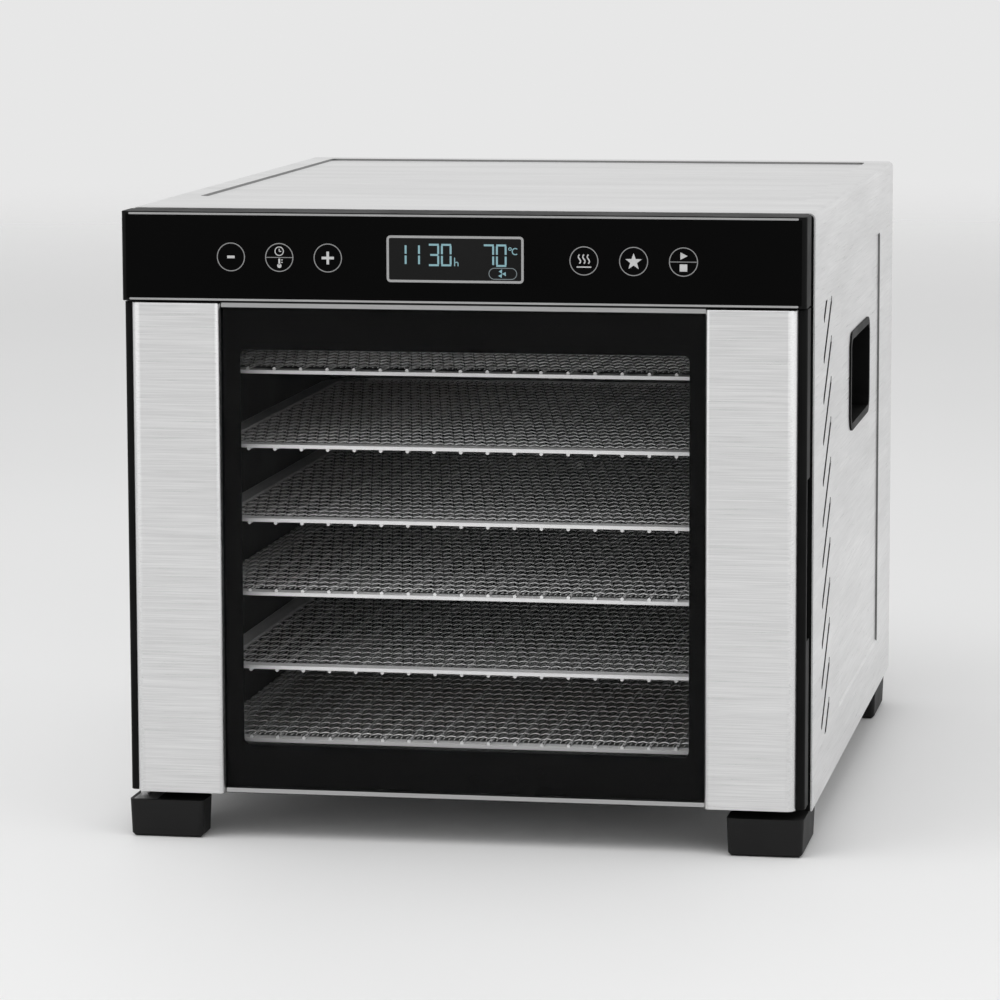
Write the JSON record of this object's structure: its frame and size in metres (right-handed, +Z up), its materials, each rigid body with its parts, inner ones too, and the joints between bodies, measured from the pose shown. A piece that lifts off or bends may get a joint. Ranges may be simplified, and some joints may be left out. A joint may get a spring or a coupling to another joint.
{
  "type": "food dehydrator",
  "caption": "Cabinet food dehydrator in a brushed steel case: hinged glass door, sliding mesh racks over a drip tray, touch control panel with a display, fan and ring heater at the back.",
  "frame": {"origin": "on the floor, under the middle of the bounding box", "axes": "+X to the right seen from the front, -Y towards the user (the door faces -Y), +Z up"},
  "size_m": [0.345, 0.45, 0.3165],
  "materials": {
    "brushed_case": "finely brushed",
    "rear_sheet": "plain matt sheet",
    "inner_sheet": "dark satin coating",
    "bracket_steel": "zinc plated",
    "black_plastic": "satin black",
    "foot_plastic": "matt black",
    "black_glass": "polished, printed black behind",
    "clear_glass": "polished, lightly tinted",
    "bright_trim": "polished",
    "display": "dark liquid crystal",
    "circuit_board": "solder resist",
    "pad_foam": "conductive foam",
    "seal_rubber": "matt silicone",
    "rack_steel": "bright drawn",
    "tray_steel": "satin",
    "fixing_steel": "zinc plated",
    "fan_aluminium": "plain",
    "motor_paint": "satin",
    "heater_sheath": "heat darkened"
  },
  "bodies": {
    "cabinet": {"air_baffle": "inner_sheet", "air_partition": "inner_sheet", "base_pan": "rear_sheet", "chamber_floor": "inner_sheet", "chamber_left_wall": "inner_sheet", "chamber_right_wall": "inner_sheet", "chamber_top": "inner_sheet", "control_board": "circuit_board", "control_glass": "black_glass", "control_housing": "black_plastic", "cord_gland": "black_plastic", "display_frame": "bright_trim", "display_module": "display", "fan_motor": "motor_paint", "foot_front_left": "foot_plastic", "foot_front_right": "foot_plastic", "foot_rear_left": "foot_plastic", "foot_rear_right": "foot_plastic", "foot_screws": "fixing_steel", "front_frame": "black_plastic", "handle_cup_left": "black_plastic", "handle_cup_right": "black_plastic", "heater_coil": "heater_sheath", "hinge_bracket": "bracket_steel", "motor_bracket": "bracket_steel", "outer_shell": "brushed_case", "panel_trim": "bright_trim", "power_board": "circuit_board", "rack_runners_left": "inner_sheet", "rack_runners_right": "inner_sheet", "rear_panel": "rear_sheet", "rear_screws": "fixing_steel", "temperature_sensor": "heater_sheath", "thermal_cutout": "heater_sheath", "touch_pads": "pad_foam"},
    "door": {"door_frame": "black_plastic", "door_glass": "clear_glass", "glass_trim": "bright_trim", "door_post_left": "brushed_case", "door_post_right": "brushed_case", "door_seal": "seal_rubber", "hinge_pins": "fixing_steel", "door_magnets": "fixing_steel"},
    "fan": {"fan_impeller": "fan_aluminium", "fan_shaft": "fixing_steel", "fan_nut": "fixing_steel"},
    "rack_1": {"rack_1_frame": "rack_steel", "rack_1_mesh": "rack_steel"},
    "rack_2": {"rack_2_frame": "rack_steel", "rack_2_mesh": "rack_steel"},
    "rack_3": {"rack_3_frame": "rack_steel", "rack_3_mesh": "rack_steel"},
    "rack_4": {"rack_4_frame": "rack_steel", "rack_4_mesh": "rack_steel"},
    "rack_5": {"rack_5_frame": "rack_steel", "rack_5_mesh": "rack_steel"},
    "rack_6": {"rack_6_frame": "rack_steel", "rack_6_mesh": "rack_steel"},
    "tray": {"drip_tray": "tray_steel"}
  },
  "joints": [
    {"name": "door_hinge", "type": "hinge", "parent": "cabinet", "child": "door", "pos_m": [-0.166, -0.21, 0.147], "axis": [0, 0, -1], "range_deg": [0, 110]},
    {"name": "fan_spin", "type": "hinge", "parent": "cabinet", "child": "fan", "pos_m": [0, 0.16, 0.14525], "axis": [0, 1, 0], "continuous": true},
    {"name": "rack_1_slide", "type": "slide", "parent": "cabinet", "child": "rack_1", "axis": [0, -1, 0], "range_m": [0, 0.012]},
    {"name": "rack_2_slide", "type": "slide", "parent": "cabinet", "child": "rack_2", "axis": [0, -1, 0], "range_m": [0, 0.012]},
    {"name": "rack_3_slide", "type": "slide", "parent": "cabinet", "child": "rack_3", "axis": [0, -1, 0], "range_m": [0, 0.012]},
    {"name": "rack_4_slide", "type": "slide", "parent": "cabinet", "child": "rack_4", "axis": [0, -1, 0], "range_m": [0, 0.012]},
    {"name": "rack_5_slide", "type": "slide", "parent": "cabinet", "child": "rack_5", "axis": [0, -1, 0], "range_m": [0, 0.012]},
    {"name": "rack_6_slide", "type": "slide", "parent": "cabinet", "child": "rack_6", "axis": [0, -1, 0], "range_m": [0, 0.012]},
    {"name": "drip_tray_slide", "type": "slide", "parent": "cabinet", "child": "tray", "axis": [0, -1, 0], "range_m": [0, 0.012]}
  ]
}
